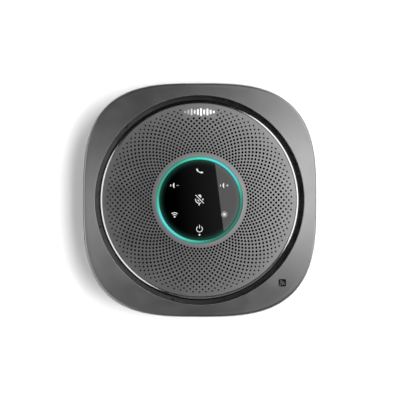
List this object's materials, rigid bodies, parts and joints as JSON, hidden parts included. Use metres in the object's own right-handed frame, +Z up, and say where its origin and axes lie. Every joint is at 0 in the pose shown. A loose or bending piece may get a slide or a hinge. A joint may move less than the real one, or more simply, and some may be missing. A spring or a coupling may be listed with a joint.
{
  "type": "conference speakerphone",
  "caption": "Rounded-square tabletop speakerphone: round perforated grille with a bright trim, lit ring and touch-glass keys in the middle, and the loudspeaker and electronics inside.",
  "frame": {"origin": "middle of the plane that the foot ring stands on", "axes": "+Z up through the grille, +Y towards the rear, where the cable socket is, +X to the right"},
  "size_m": [0.13, 0.13, 0.0369],
  "materials": {
    "graphite_shell": "satin graphite metallic coating with a fine grain",
    "tray_plastic": "fine spark-eroded texture, charcoal",
    "foot_rubber": "matt, slightly dusty",
    "groove_black": "semi-gloss black",
    "bright_trim": "diamond-cut, polished",
    "grille_metal": "satin graphite coating, perforated",
    "acoustic_cloth": "black open weave",
    "inner_plastic": "moulded, dark grey",
    "light_guide": "translucent, lit turquoise from below",
    "touch_glass": "polished, black printed behind, pale icons",
    "circuit_board": "green solder mask",
    "flex_film": "amber polyimide",
    "zinc_steel": "zinc plated",
    "screw_steel": "black zinc plated",
    "tin_plate": "bright tin plated",
    "magnet_nickel": "nickel plated neodymium",
    "soft_rubber": "matt moulded",
    "cone_paper": "pressed pulp, black",
    "copper": "varnished copper winding",
    "spider_cloth": "resin-stiffened weave",
    "battery_foil": "laminated pouch foil",
    "cable_jacket": "smooth black jacket"
  },
  "bodies": {
    "chassis": {"top_cover": "graphite_shell", "bottom_cover": "tray_plastic", "foot_ring": "foot_rubber", "groove_ring": "groove_black", "grille_trim": "bright_trim", "speaker_grille": "grille_metal", "grille_cloth": "acoustic_cloth", "centre_bridge": "inner_plastic", "light_ring": "light_guide", "touch_glass": "touch_glass", "icon_light_block": "inner_plastic", "touch_board": "circuit_board", "touch_flex": "flex_film", "baffle_frame": "inner_plastic", "driver_basket": "zinc_steel", "driver_gasket": "soft_rubber", "driver_yoke": "zinc_steel", "driver_magnet": "magnet_nickel", "driver_pole_plate": "zinc_steel", "driver_surround": "soft_rubber", "driver_spider": "spider_cloth", "main_board": "circuit_board", "shield_can": "tin_plate", "usb_c_port": "tin_plate", "battery_pack": "battery_foil", "battery_bracket": "inner_plastic", "battery_lead": "cable_jacket", "speaker_lead": "cable_jacket", "nfc_antenna": "flex_film", "housing_screw_1": "screw_steel", "housing_screw_2": "screw_steel", "housing_screw_3": "screw_steel", "housing_screw_4": "screw_steel", "driver_screw_1": "screw_steel", "driver_screw_2": "screw_steel", "driver_screw_3": "screw_steel", "driver_screw_4": "screw_steel", "cover_screw_1": "screw_steel", "cover_screw_2": "screw_steel", "cover_screw_3": "screw_steel", "cover_screw_4": "screw_steel", "board_screw_1": "screw_steel", "board_screw_2": "screw_steel", "mic_board_1": "circuit_board", "mic_board_2": "circuit_board", "mic_board_3": "circuit_board", "mic_board_4": "circuit_board", "mic_board_5": "circuit_board", "mic_board_6": "circuit_board", "mic_gasket_1": "soft_rubber", "mic_gasket_2": "soft_rubber", "mic_gasket_3": "soft_rubber", "mic_gasket_4": "soft_rubber", "mic_gasket_5": "soft_rubber", "mic_gasket_6": "soft_rubber"},
    "cone_assembly": {"driver_cone": "cone_paper", "driver_dust_cap": "cone_paper", "voice_coil": "copper"}
  },
  "joints": [
    {"name": "cone_travel", "type": "slide", "parent": "chassis", "child": "cone_assembly", "axis": [0, 0, 1], "range_m": [-0.002, 0.002], "stiffness_N_per_m": 1500, "deforming": ["driver_surround", "driver_spider"]}
  ]
}
